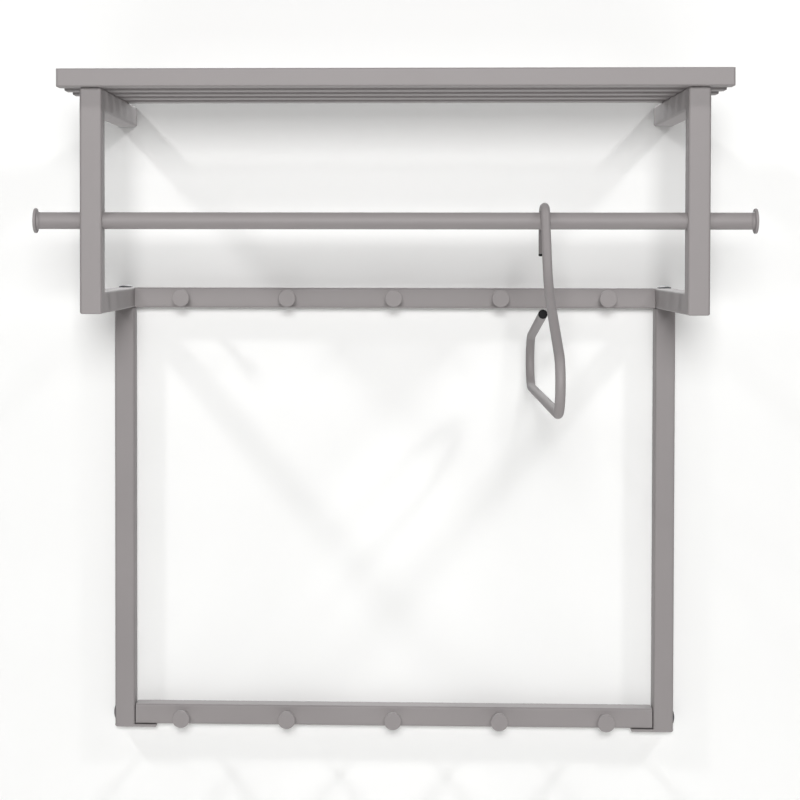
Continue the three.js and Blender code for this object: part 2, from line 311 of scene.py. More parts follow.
@dataclass(frozen=True)
class ZincPlate:
    """Bright zinc electroplate on machined steel.

    Small crystals give the pale grey metal a slightly mottled gloss at about 1.5 mm.
    """

    name: str = "zinc_plated_steel"
    base: str = "#C3C6C8"
    roughness_low: float = 0.28
    roughness_high: float = 0.44
    metallic: float = 1.0
    crystal_mm: float = 1.5

    def material(self) -> bpy.types.Material:
        """Builds the shader.

        Returns:
            The material.
        """
        material, tree, shader = new_material(self.name)
        place = add_node(tree, "ShaderNodeTexCoord").outputs["Object"]
        crystals = add_node(
            tree,
            "ShaderNodeTexVoronoi",
            {"Vector": place, "Scale": 1 / (self.crystal_mm * MM)},
        )
        gloss = add_node(
            tree,
            "ShaderNodeMapRange",
            {
                "Value": crystals.outputs["Distance"],
                "To Min": self.roughness_low,
                "To Max": self.roughness_high,
            },
        )
        tree.links.new(gloss.outputs["Result"], shader.inputs["Roughness"])
        shader.inputs["Base Color"].default_value = linear(self.base)
        shader.inputs["Metallic"].default_value = self.metallic
        return material


@dataclass(frozen=True)
class MouldedPolyethylene:
    """Black polyethylene plug, injection moulded against a spark-eroded steel face.

    The fine eroded texture, about 0.4 mm, makes the black face satin with a soft broad sheen.
    """

    name: str = "moulded_black_polyethylene"
    base: str = "#0F0F11"
    roughness: float = 0.5
    gloss_spread: float = 0.05
    texture_mm: float = 0.4
    texture_height_mm: float = 0.03
    texture_detail: float = 2.0
    relief: float = 0.3
    ior: float = 1.51
    specular: float = 0.15

    def material(self) -> bpy.types.Material:
        """Builds the shader.

        Returns:
            The material.
        """
        material, tree, shader = new_material(self.name)
        place = add_node(tree, "ShaderNodeTexCoord").outputs["Object"]
        texture = add_node(
            tree,
            "ShaderNodeTexNoise",
            {"Vector": place, "Scale": 1 / (self.texture_mm * MM), "Detail": self.texture_detail},
        )
        relief = add_node(
            tree,
            "ShaderNodeBump",
            {
                "Strength": self.relief,
                "Distance": self.texture_height_mm * MM,
                "Height": texture.outputs["Fac"],
            },
        )
        gloss = add_node(
            tree,
            "ShaderNodeMapRange",
            {
                "Value": texture.outputs["Fac"],
                "To Min": self.roughness - self.gloss_spread,
                "To Max": self.roughness + self.gloss_spread,
            },
        )
        tree.links.new(relief.outputs["Normal"], shader.inputs["Normal"])
        tree.links.new(gloss.outputs["Result"], shader.inputs["Roughness"])
        shader.inputs["Base Color"].default_value = linear(self.base)
        shader.inputs["IOR"].default_value = self.ior
        shader.inputs["Specular IOR Level"].default_value = self.specular
        return material


@dataclass(frozen=True)
class StudioPaint:
    """Plain matt white emulsion, rolled on the wall and the floor of the studio.

    It has no texture that shows. From behind it lets the view through, so that the wall doesn't
    hide the back of what hangs on it, and the floor doesn't hide it from below.
    """

    name: str = "matt_white_emulsion"
    base: str = "#F4F4F3"
    roughness: float = 0.9
    specular: float = 0.1

    def material(self) -> bpy.types.Material:
        """Builds the shader.

        Returns:
            The material.
        """
        material, tree, shader = new_material(self.name)
        shader.inputs["Base Color"].default_value = linear(self.base)
        shader.inputs["Roughness"].default_value = self.roughness
        shader.inputs["Specular IOR Level"].default_value = self.specular
        output = next(n for n in tree.nodes if n.type == "OUTPUT_MATERIAL")
        clear = add_node(tree, "ShaderNodeBsdfTransparent")
        facing = add_node(tree, "ShaderNodeNewGeometry").outputs["Backfacing"]
        both = add_node(
            tree,
            "ShaderNodeMixShader",
            {0: facing, 1: shader.outputs[0], 2: clear.outputs[0]},
        )
        tree.links.new(both.outputs[0], output.inputs["Surface"])
        return material


def new_material(
    name: str,
) -> tuple[bpy.types.Material, bpy.types.NodeTree, bpy.types.Node]:
    """Makes an empty material with a principled shader.

    Args:
        name: the finish's name.

    Returns:
        The material, its tree and the shader node.
    """
    material = bpy.data.materials.new(name)
    material.use_nodes = True
    tree = material.node_tree
    shader = next(n for n in tree.nodes if n.type == "BSDF_PRINCIPLED")
    return material, tree, shader


@dataclass(frozen=True)
class Palette:
    """The finishes of the rack, each made once."""

    powder: bpy.types.Material
    bolt: bpy.types.Material
    zinc: bpy.types.Material
    cap: bpy.types.Material


# ------------------------------------------------------------------------------ meshes


def mesh_object(
    name: str, points: Iterable[Sequence[float]], edges: Sequence, faces: Sequence
) -> bpy.types.Object:
    """Makes a linked object from raw geometry in metres.

    Args:
        name: the object's name.
        points: the vertices.
        edges: vertex pairs, or nothing where faces give them.
        faces: vertex loops.

    Returns:
        The object, at the origin.
    """
    mesh = bpy.data.meshes.new(name)
    mesh.from_pydata([tuple(p) for p in points], edges, faces)
    mesh.update()
    made = bpy.data.objects.new(name, mesh)
    bpy.context.scene.collection.objects.link(made)
    return made


def bake(made: bpy.types.Object) -> bpy.types.Object:
    """Turns an object's evaluated shape into its plain mesh and drops its modifiers.

    Args:
        made: the object.

    Returns:
        The same object.
    """
    depsgraph = bpy.context.evaluated_depsgraph_get()
    mesh = bpy.data.meshes.new_from_object(
        made.evaluated_get(depsgraph), preserve_all_data_layers=True, depsgraph=depsgraph
    )
    mesh.name = made.name
    old = made.data
    made.modifiers.clear()
    made.data = mesh
    bpy.data.meshes.remove(old)
    return made


def close_up(made: bpy.types.Object) -> bpy.types.Object:
    """Merges doubled points, drops slivers and turns every face outwards.

    Args:
        made: the object with a plain mesh.

    Returns:
        The same object.
    """
    shape = bmesh.new()
    shape.from_mesh(made.data)
    bmesh.ops.remove_doubles(shape, verts=shape.verts, dist=WELD_DISTANCE)
    bmesh.ops.dissolve_degenerate(shape, edges=shape.edges, dist=WELD_DISTANCE)
    bmesh.ops.recalc_face_normals(shape, faces=shape.faces)
    shape.to_mesh(made.data)
    shape.free()
    return made


def soften(made: bpy.types.Object, width: float = 0.0) -> bpy.types.Object:
    """Rounds the sharp edges and evens the shading of flat faces beside curved ones.

    Args:
        made: the object with a plain mesh.
        width: the rounding in millimetres, or 0 for none.

    Returns:
        The same object, baked.
    """
    if width:
        bevel = made.modifiers.new("edges", "BEVEL")
        bevel.width = width * MM
        bevel.segments = ROUNDING_SEGMENTS
        bevel.limit_method = "ANGLE"
        bevel.angle_limit = ROUNDED_ANGLE
        bake(made)
    made.data.shade_smooth()
    made.data.set_sharp_from_angle(angle=SHARP_ANGLE)
    even = made.modifiers.new("even", "WEIGHTED_NORMAL")
    even.keep_sharp = True
    return bake(made)


def carve(made: bpy.types.Object, cutters: Iterable[bpy.types.Object]) -> bpy.types.Object:
    """Cuts other solids out of an object and removes them.

    Args:
        made: the object with a plain closed mesh.
        cutters: closed solids.

    Returns:
        The same object, baked.
    """
    return combine(made, cutters, Merge.CUT)


def combine(
    made: bpy.types.Object, others: Iterable[bpy.types.Object], how: Merge
) -> bpy.types.Object:
    """Joins other solids to an object, or cuts them out of it, and removes them.

    Args:
        made: the object with a plain closed mesh.
        others: closed solids.
        how: whether they are welded on or cut out.

    Returns:
        The same object, baked.
    """
    spent = list(others)
    for other in spent:
        step = made.modifiers.new("boolean", "BOOLEAN")
        step.operation = how.value
        step.solver = "EXACT"
        step.object = other
    bake(made)
    for other in spent:
        bpy.data.objects.remove(other)
    return close_up(made)


def prism(name: str, outline: Sequence[Point], low: float, high: float) -> bpy.types.Object:
    """Extrudes an outline in XY along Z.

    Args:
        name: the object's name.
        outline: points in millimetres, in order.
        low: the lower end in millimetres.
        high: the upper end in millimetres.

    Returns:
        A closed solid.
    """
    count = len(outline)
    points = [(x * MM, y * MM, z * MM) for z in (low, high) for x, y in outline]
    walls = [(i, (i + 1) % count, count + (i + 1) % count, count + i) for i in range(count)]
    faces = [tuple(reversed(range(count))), tuple(range(count, 2 * count)), *walls]
    return close_up(mesh_object(name, points, [], faces))


def disc_outline(diameter: float, sides: int) -> list[Point]:
    """Points of a regular polygon.

    Args:
        diameter: across its corners, in millimetres.
        sides: how many.

    Returns:
        The corners, anticlockwise.
    """
    angles = [2 * math.pi * i / sides for i in range(sides)]
    return [(diameter / 2 * math.cos(a), diameter / 2 * math.sin(a)) for a in angles]


def rounded_outline(side: float, corner: float) -> list[Point]:
    """Points of a rounded square about its centre.

    Args:
        side: the square's side, in millimetres.
        corner: the corner radius.

    Returns:
        The points, anticlockwise.
    """
    points = []
    for quarter, (sign_x, sign_y) in enumerate(((1, 1), (-1, 1), (-1, -1), (1, -1))):
        centre_x = sign_x * (side / 2 - corner)
        centre_y = sign_y * (side / 2 - corner)
        for i in range(CORNER_FLATS + 1):
            angle = (quarter + i / CORNER_FLATS) * RIGHT_ANGLE
            along, up = corner * math.cos(angle), corner * math.sin(angle)
            points.append((centre_x + along, centre_y + up))
    return points


def edge_arc(centre: Point, radius: float, start: float, end: float, steps: int = 4) -> list[Point]:
    """Points of an arc in a turned profile.

    Args:
        centre: the arc's centre as (radius, height) in millimetres.
        radius: the arc's own radius.
        start: the first angle in degrees, from the outward direction.
        end: the last angle in degrees.
        steps: flats.

    Returns:
        The points from start to end.
    """
    angles = [math.radians(start + (end - start) * i / steps) for i in range(steps + 1)]
    return [(centre[0] + radius * math.cos(a), centre[1] + radius * math.sin(a)) for a in angles]


def moved(made: bpy.types.Object, matrix: Matrix) -> bpy.types.Object:
    """Moves an object's mesh, and leaves the object at the origin.

    Args:
        made: the object.
        matrix: the move in metres.

    Returns:
        The same object.
    """
    made.data.transform(matrix)
    made.data.update()
    return made


# ------------------------------------------------------------------------------ node trees


class ShapeTree:
    """A geometry node tree with named inputs that runs on an object and is baked."""

    def __init__(self, name: str) -> None:
        """Starts an empty tree.

        Args:
            name: the tree's name.
        """
        self.tree = bpy.data.node_groups.new(name, "GeometryNodeTree")
        self.tree.interface.new_socket("Geometry", in_out="INPUT", socket_type="NodeSocketGeometry")
        self.tree.interface.new_socket(
            "Geometry", in_out="OUTPUT", socket_type="NodeSocketGeometry"
        )
        self.keys: dict[str, str] = {}
        self.entry: bpy.types.Node | None = None

    def declare(self, **kinds: str) -> None:
        """Adds the named inputs, then the node that gives them.

        Args:
            kinds: input name to Float, Int, Object or Material; an underscore is a space.
        """
        for name, kind in kinds.items():
            title = name.replace("_", " ").title()
            socket = self.tree.interface.new_socket(
                title, in_out="INPUT", socket_type=f"NodeSocket{kind}"
            )
            self.keys[name] = socket.identifier
        self.entry = add_node(self.tree, "NodeGroupInput")

    def given(self, name: str) -> bpy.types.NodeSocket:
        """The output socket that carries the named input."""
        return next(s for s in self.entry.outputs if s.identifier == self.keys[name])

    def add(self, kind: str, inputs: dict[Any, Any] | None = None, **settings: Any) -> Any:
        """Adds a node with settings and links, and returns it."""
        return add_node(self.tree, kind, inputs, **settings)

    def end(self, geometry: bpy.types.NodeSocket) -> None:
        """Ends the tree in realized instances with the finish set.

        Args:
            geometry: the socket with the finished shape.
        """
        real = self.add("GeometryNodeRealizeInstances", {"Geometry": geometry})
        dressed = self.add(
            "GeometryNodeSetMaterial",
            {"Geometry": real.outputs["Geometry"], "Material": self.given("finish")},
        )
        self.add("NodeGroupOutput", {"Geometry": dressed.outputs["Geometry"]})

    def run(self, made: bpy.types.Object, **values: Any) -> bpy.types.Object:
        """Runs the tree on an object and bakes the result.

        Args:
            made: the object whose mesh the tree starts from.
            values: the value of each named input.

        Returns:
            The same object with its new closed mesh.
        """
        step = made.modifiers.new(self.tree.name, "NODES")
        step.node_group = self.tree
        for name, value in values.items():
            step[self.keys[name]] = value
        return close_up(bake(made))


class TurnedTree(ShapeTree):
    """Spins a profile, drawn as a chain of edges, about the Z axis."""

    def __init__(self) -> None:
        """Builds the tree."""
        super().__init__("turned_shape")
        self.declare(segments="Int", spindle="Float", finish="Material")
        chain = self.add("GeometryNodeMeshToCurve", {"Mesh": self.entry.outputs["Geometry"]})
        inward = self.add(
            "ShaderNodeMath", {0: self.given("spindle"), 1: -1.0}, operation="MULTIPLY"
        )
        offset = self.add("ShaderNodeCombineXYZ", {"X": inward.outputs[0]})
        profile = self.add(
            "GeometryNodeSetPosition",
            {"Geometry": chain.outputs["Curve"], "Offset": offset.outputs["Vector"]},
        )
        round_path = self.add(
            "GeometryNodeCurvePrimitiveCircle",
            {"Resolution": self.given("segments"), "Radius": self.given("spindle")},
        )
        spun = self.add(
            "GeometryNodeCurveToMesh",
            {
                "Curve": round_path.outputs["Curve"],
                "Profile Curve": profile.outputs["Geometry"],
            },
        )
        closed = self.add(
            "GeometryNodeMergeByDistance",
            {"Geometry": spun.outputs["Mesh"], "Distance": WELD_DISTANCE},
        )
        self.end(closed.outputs["Geometry"])

    def make(
        self, name: str, profile: Sequence[Point], finish: bpy.types.Material, segments: int = 48
    ) -> bpy.types.Object:
        """Turns a profile about Z.

        Args:
            name: the object's name.
            profile: (radius, height) corners in millimetres, from axis to axis.
            finish: the material.
            segments: flats round the axis.

        Returns:
            The closed solid.
        """
        points = [(radius * MM, -height * MM, 0.0) for radius, height in profile]
        edges = [(i, i + 1) for i in range(len(points) - 1)]
        chain = mesh_object(name, points, edges, [])
        return self.run(chain, segments=segments, spindle=MM, finish=finish)


class BentBarTree(ShapeTree):
    """Sweeps a round section along a path, drawn as a chain of edges."""

    def __init__(self) -> None:
        """Builds the tree."""
        super().__init__("bent_round_bar")
        self.declare(diameter="Float", sides="Int", finish="Material")
        path = self.add("GeometryNodeMeshToCurve", {"Mesh": self.entry.outputs["Geometry"]})
        radius = self.add(
            "ShaderNodeMath", {0: self.given("diameter"), 1: 0.5}, operation="MULTIPLY"
        )
        section = self.add(
            "GeometryNodeCurvePrimitiveCircle",
            {"Resolution": self.given("sides"), "Radius": radius.outputs[0]},
        )
        swept = self.add(
            "GeometryNodeCurveToMesh",
            {
                "Curve": path.outputs["Curve"],
                "Profile Curve": section.outputs["Curve"],
                "Fill Caps": True,
            },
        )
        self.end(swept.outputs["Mesh"])


class SlatTree(ShapeTree):
    """Lays a row of closed rectangular tubes, each with a plate welded on either end."""

    fillet_flats: int = 5
    seam: float = 0.1 * MM

    def __init__(self) -> None:
        """Builds the tree."""
        super().__init__("slat_row")
        self.declare(
            length="Float",
            depth="Float",
            height="Float",
            corner="Float",
            plate="Float",
            slats="Int",
            pitch="Float",
            finish="Material",
        )
        outline = self.add(
            "GeometryNodeCurvePrimitiveQuadrilateral",
            {"Width": self.given("depth"), "Height": self.given("height")},
        )
        section = self.add(
            "GeometryNodeFilletCurve",
            {
                "Curve": outline.outputs["Curve"],
                "Radius": self.given("corner"),
                "Count": self.fillet_flats,
            },
            mode="POLY",
        )
        self.section = section.outputs["Curve"]
        end = self.add("ShaderNodeMath", {0: self.given("length"), 1: 0.5}, operation="MULTIPLY")
        joint = self.add(
            "ShaderNodeMath", {0: end.outputs[0], 1: self.given("plate")}, operation="SUBTRACT"
        )
        near = self.add("ShaderNodeMath", {0: joint.outputs[0], 1: self.seam}, operation="SUBTRACT")
        right = [node.outputs[0] for node in (near, joint, end)]
        left = [
            self.add("ShaderNodeMath", {0: x, 1: -1.0}, operation="MULTIPLY").outputs[0]
            for x in right
        ]
        slat = self.add("GeometryNodeJoinGeometry")
        for span in ((left[0], right[0]), (right[1], right[2]), (left[2], left[1])):
            self.tree.links.new(self.bar(*span), slat.inputs["Geometry"])
        step = self.add("ShaderNodeCombineXYZ", {"Y": self.given("pitch")})
        row = self.add(
            "GeometryNodeMeshLine",
            {"Count": self.given("slats"), "Offset": step.outputs["Vector"]},
        )
        copies = self.add(
            "GeometryNodeInstanceOnPoints",
            {"Points": row.outputs["Mesh"], "Instance": slat.outputs["Geometry"]},
        )
        self.end(copies.outputs["Instances"])

    def bar(
        self, start: bpy.types.NodeSocket, end: bpy.types.NodeSocket
    ) -> bpy.types.NodeSocket:
        """Adds a closed bar of the slat's section between two places along X.

        Args:
            start: the socket with the lower end.
            end: the socket with the upper end.

        Returns:
            The bar's mesh socket.
        """
        low, high = [
            self.add("ShaderNodeCombineXYZ", {"X": x}).outputs["Vector"] for x in (start, end)
        ]
        line = self.add("GeometryNodeCurvePrimitiveLine", {"Start": low, "End": high})
        swept = self.add(
            "GeometryNodeCurveToMesh",
            {"Curve": line.outputs["Curve"], "Profile Curve": self.section, "Fill Caps": True},
        )
        return swept.outputs["Mesh"]


class PlacedTree(ShapeTree):
    """Puts a copy of a pattern at each point, turned by the point's own angles."""

    def __init__(self) -> None:
        """Builds the tree."""
        super().__init__("placed_copies")
        self.declare(pattern="Object", finish="Material")
        pattern = self.add("GeometryNodeObjectInfo", {"Object": self.given("pattern")})
        turn = self.add(
            "GeometryNodeInputNamedAttribute", {"Name": "turn"}, data_type="FLOAT_VECTOR"
        )
        copies = self.add(
            "GeometryNodeInstanceOnPoints",
            {
                "Points": self.entry.outputs["Geometry"],
                "Instance": pattern.outputs["Geometry"],
                "Rotation": turn.outputs[0],
            },
        )
        self.end(copies.outputs["Instances"])

    def make(
        self,
        name: str,
        pattern: bpy.types.Object,
        places: Sequence[tuple[Place, Place]],
        finish: bpy.types.Material,
    ) -> bpy.types.Object:
        """Copies a pattern to places and removes the pattern.

        Args:
            name: the new object's name.
            pattern: the object to copy, built at the origin.
            places: pairs of a place in metres and XYZ angles in radians.
            finish: the material.

        Returns:
            One object with every copy.
        """
        points = mesh_object(name, [place for place, _ in places], [], [])
        turn = points.data.attributes.new("turn", "FLOAT_VECTOR", "POINT")
        for entry, (_, angles) in zip(turn.data, places):
            entry.vector = angles
        made = self.run(points, pattern=pattern, finish=finish)
        bpy.data.objects.remove(pattern)
        return made


@dataclass
class Workshop:
    """The node trees and finishes that every sub-assembly uses."""

    palette: Palette
    turned: TurnedTree = field(default_factory=TurnedTree)
    bar: BentBarTree = field(default_factory=BentBarTree)
    slats: SlatTree = field(default_factory=SlatTree)
    placed: PlacedTree = field(default_factory=PlacedTree)

    def install(
        self,
        made: bpy.types.Object,
        finish: bpy.types.Material,
        slot: Slot,
        body: Body,
        nodes: Sequence[str],
    ) -> bpy.types.Object:
        """Dresses a finished piece and ties it to its body and CAD nodes.

        Args:
            made: the piece.
            finish: its material.
            slot: the record's slot; not used.
            body: the body it rides on.
            nodes: the CAD nodes that it stands for.

        Returns:
            The same object.
        """
        made.data.materials.clear()
        made.data.materials.append(finish)
        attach(made, body.value)
        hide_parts(*nodes)
        LOG.info("%s: %d faces on %s", made.name, len(made.data.polygons), body.value)
        return made


# ------------------------------------------------------------------------------ square tube


@dataclass(frozen=True)
class SquareTube:
    """Welded square steel tube and the way it is mitred."""

    side: float = 25.0
    wall: float = 1.5
    corner: float = 3.0
    least_corner: float = 0.3
    mitre_round: float = 1.2
    mitre_steps: int = 4
    rim: float = 0.35

    def loop(self, inset: float) -> list[Point]:
        """The outline of the tube's section, or of one inside it.

        Args:
            inset: how far inside the outer face it lies, in millimetres.

        Returns:
            Points as (depth from the outer face, sideways).
        """
        size = self.side - 2 * inset
        outline = rounded_outline(size, max(self.corner - inset, self.least_corner))
        return [(depth + self.side / 2, across) for depth, across in outline]

    def sweep(self, name: str, path: Sequence[Place], sideways: Place) -> bpy.types.Object:
        """Runs the tube along a path of straight stretches with mitred corners.

        Args:
            name: the object's name.
            path: corners of the middle of the outer face, in millimetres.
            sideways: the unit vector square to the plane of the path.

        Returns:
            A closed hollow solid with its bore open at the ends.
        """
        across = Vector(sideways)
        corners = [Vector(p) for p in path]
        headings = [(b - a).normalized() for a, b in zip(corners, corners[1:])]
        inwards = [across.cross(h) for h in headings]
        outer, bore = self.loop(0), self.loop(self.wall)
        rim_outer, rim_bore = self.loop(self.rim), self.loop(self.wall - self.rim / 2)

        def at_end(index: int, shift: float) -> Spot:
            """Where a section point lies at an end of the path, shifted along the tube."""
            corner = corners[index] + headings[index] * shift
            return lambda depth, aside: corner + inwards[index] * depth + across * aside

        def at_corner(index: int, turn: float) -> Spot:
            """Where a section point lies on a rounded mitre.

            Args:
                index: the corner of the path.
                turn: the angle round it in radians, from the stretch before to the one after.

            Returns:
                A function from the point's depth and sideways place to its place in space.
            """
            before, after = inwards[index - 1], inwards[index]

            def spot(depth: float, aside: float) -> Vector:
                """The place of one section point, in millimetres.

                Args:
                    depth: how far it lies inside the outer face.
                    aside: how far it lies to the side.

                Returns:
                    Its place.
                """
                reach = max(self.mitre_round - depth, 0.0)
                centre = corners[index] + (before + after) * (depth + reach)
                out = before * math.cos(turn) + after * math.sin(turn)
                return centre - out * reach + across * aside

            return spot

        stations = [(at_end(0, 0), rim_outer, rim_bore), (at_end(0, self.rim), outer, bore)]
        for index in range(1, len(corners) - 1):
            for step in range(self.mitre_steps + 1):
                turn = RIGHT_ANGLE * step / self.mitre_steps
                stations.append((at_corner(index, turn), outer, bore))
        stations.append((at_end(-1, -self.rim), outer, bore))
        stations.append((at_end(-1, 0), rim_outer, rim_bore))

        count = len(outer)
        points = []
        for spot, out_loop, in_loop in stations:
            points += [spot(*p) * MM for p in (*out_loop, *in_loop)]
        faces = []
        ring = 2 * count
        for s in range(len(stations) - 1):
            for i in range(count):
                j = (i + 1) % count
                low, high = s * ring, (s + 1) * ring
                faces.append((low + i, low + j, high + j, high + i))
                faces.append((low + count + j, low + count + i, high + count + i, high + count + j))
        last = (len(stations) - 1) * ring
        for i in range(count):
            j = (i + 1) % count
            faces.append((i, count + i, count + j, j))
            faces.append((last + j, last + count + j, last + count + i, last + i))
        return close_up(mesh_object(name, points, [], faces))


TUBE = SquareTube()


@dataclass(frozen=True)
class Drill:
    """A round cutter for bolt holes and for the rod's holes."""

    diameter: float
    reach: float = 60.0
    sides: int = 48

    def along(self, axis: Axis, place: Place) -> bpy.types.Object:
        """Makes the cutter.

        Args:
            axis: the way it runs.
            place: its middle in millimetres.

        Returns:
            A closed cylinder.
        """
        outline = disc_outline(self.diameter, self.sides)
        cutter = prism("drill", outline, -self.reach / 2, self.reach / 2)
        turn = Matrix.Rotation(RIGHT_ANGLE, 4, "Y") if axis is Axis.X else Matrix.Identity(4)
        return moved(cutter, Matrix.Translation(Vector(place) * MM) @ turn)


# ------------------------------------------------------------------------------ sub-assemblies


@dataclass
class Shelf:
    """Hat shelf of five flat rectangular slats across the top arms."""

    shop: Workshop
    count: int = 5
    length: float = 748.0
    depth: float = 25.0
    height: float = 20.3
    corner: float = 2.0
    plate: float = 1.4
    pitch: float = 55.0
    front: float = -302.0
    level: float = 240.0
    rounding: float = 0.35

    def build(self) -> None:
        """Makes the slats with their end plates."""
        made = self.shop.slats.run(
            mesh_object("shelf_slats", [], [], []),
            length=self.length * MM,
            depth=self.depth * MM,
            height=self.height * MM,
            corner=self.corner * MM,
            plate=self.plate * MM,
            slats=self.count,
            pitch=self.pitch * MM,
            finish=self.shop.palette.powder,
        )
        place = (0.0, self.front + self.depth / 2, self.level + self.height / 2)
        moved(made, Matrix.Translation(Vector(place) * MM))
        soften(made, self.rounding)
        parts = ("", "_end_left", "_end_right")
        nodes = [f"slat_{i + 1}{part}" for i in range(self.count) for part in parts]
        self.shop.install(made, self.shop.palette.powder, Slot.POWDER_COAT, Body.RACK, nodes)


@dataclass
class Bracket:
    """Mitred bracket: a post with an arm above and below that run back to the wall."""

    shop: Workshop
    side: Side
    centre: float = 337.5
    front: float = -290.0
    top: float = 240.0
    bottom: float = -12.5
    wall_gap: float = 3.05
    rod_place: Point = (-277.5, 92.0)
    rod_hole: float = 19.6
    rod_hole_flats: int = 64
    bolt_hole: float = 6.7
    bolt_place: float = -12.5

    def build(self) -> None:
        """Makes the bent run of tube with its rod hole and its bolt hole."""
        x = self.side.value * self.centre
        path = [
            (x, -self.wall_gap, self.top),
            (x, self.front, self.top),
            (x, self.front, self.bottom),
            (x, -self.wall_gap, self.bottom),
        ]
        made = TUBE.sweep(f"bracket_{self.side.word}", path, (1, 0, 0))
        carve(
            made,
            [
                Drill(self.rod_hole, sides=self.rod_hole_flats).along(Axis.X, (x, *self.rod_place)),
                Drill(self.bolt_hole).along(Axis.Z, (x, self.bolt_place, 0)),
            ],
        )
        soften(made)
        nodes = [f"{part}_{self.side.word}" for part in ("post", "top_arm", "bottom_arm")]
        self.shop.install(made, self.shop.palette.powder, Slot.POWDER_COAT, Body.RACK, nodes)


@dataclass
class KeyholePlates:
    """Plates that close the back ends of the four arms and hang on the wall screws."""

    shop: Workshop
    centre: float = 337.5
    levels: tuple[float, float] = (227.5, 0.0)
    thickness: float = 3.0
    head: float = 10.0
    slot: float = 5.0
    rise: float = 7.0
    drop: float = 3.0
    hole_flats: int = 40
    arch_flats: int = 12
    rounding: float = 0.3
    overcut: float = 1.0

    def build(self) -> None:
        """Makes one plate with its keyhole and places the four."""
        outline = rounded_outline(TUBE.side, TUBE.corner)
        plate = prism("keyhole_plate", outline, 0, self.thickness)
        through = (-self.overcut, self.thickness + self.overcut)
        round_hole = prism("round", disc_outline(self.head, self.hole_flats), *through)
        moved(round_hole, Matrix.Translation((0, -self.drop * MM, 0)))
        half = self.slot / 2
        top = self.rise - self.drop
        arch = edge_arc((0, top), half, 0, 180, self.arch_flats)
        slot = prism("slot", [*arch, (-half, -self.drop), (half, -self.drop)], *through)
        carve(plate, [round_hole, slot])
        places = [
            ((side.value * self.centre * MM, 0.0, level * MM), (RIGHT_ANGLE, 0.0, 0.0))
            for level in self.levels
            for side in Side
        ]
        made = self.shop.placed.make("keyhole_plates", plate, places, self.shop.palette.powder)
        soften(made, self.rounding)
        nodes = [
            f"keyhole_plate_{level}_{side.word}" for level in ("upper", "lower") for side in Side
        ]
        self.shop.install(made, self.shop.palette.powder, Slot.POWDER_COAT, Body.RACK, nodes)


@dataclass
class PegRail:
    """Rail of square tube with a row of round-headed pegs welded to its face."""

    shop: Workshop
    row: Row
    level: float
    reach: float
    count: int = 5
    pitch: float = 132.0
    shaft: float = 6.0
    head: float = 10.75
    head_length: float = 5.0
    length: float = 28.0
    edge: float = 0.9
    fillet: float = 1.1

    def peg_profile(self) -> list[Point]:
        """Outlines the peg.

        Returns:
            (radius, height) corners from its weld on the rail to its flat head.
        """
        neck = self.length - self.head_length
        weld = edge_arc((self.shaft + self.fillet, self.fillet), self.fillet, 270, 180)
        under = edge_arc((self.head - self.edge, neck + self.edge), self.edge, -90, 0)
        over = edge_arc((self.head - self.edge, self.length - self.edge), self.edge, 0, 90)
        return [(0, 0), *weld, (self.shaft, neck), *under, *over, (0, self.length)]

    def build(self) -> None:
        """Makes the rail and its pegs."""
        powder = self.shop.palette.powder
        path = [(-self.reach, -TUBE.side, self.level), (self.reach, -TUBE.side, self.level)]
        rail = soften(TUBE.sweep(f"{self.row.value}_rail_tube", path, (0, 0, 1)))
        self.shop.install(rail, powder, Slot.POWDER_COAT, Body.RACK, [f"{self.row.value}_rail"])
        peg = self.shop.turned.make("peg", self.peg_profile(), powder)
        first = -(self.count - 1) / 2 * self.pitch
        places = [
            (
                ((first + i * self.pitch) * MM, -TUBE.side * MM, self.level * MM),
                (RIGHT_ANGLE, 0.0, 0.0),
            )
            for i in range(self.count)
        ]
        pegs = soften(self.shop.placed.make(f"{self.row.value}_coat_pegs", peg, places, powder))
        nodes = [f"{self.row.value}_peg_{i + 1}" for i in range(self.count)]
        self.shop.install(pegs, powder, Slot.POWDER_COAT, Body.RACK, nodes)


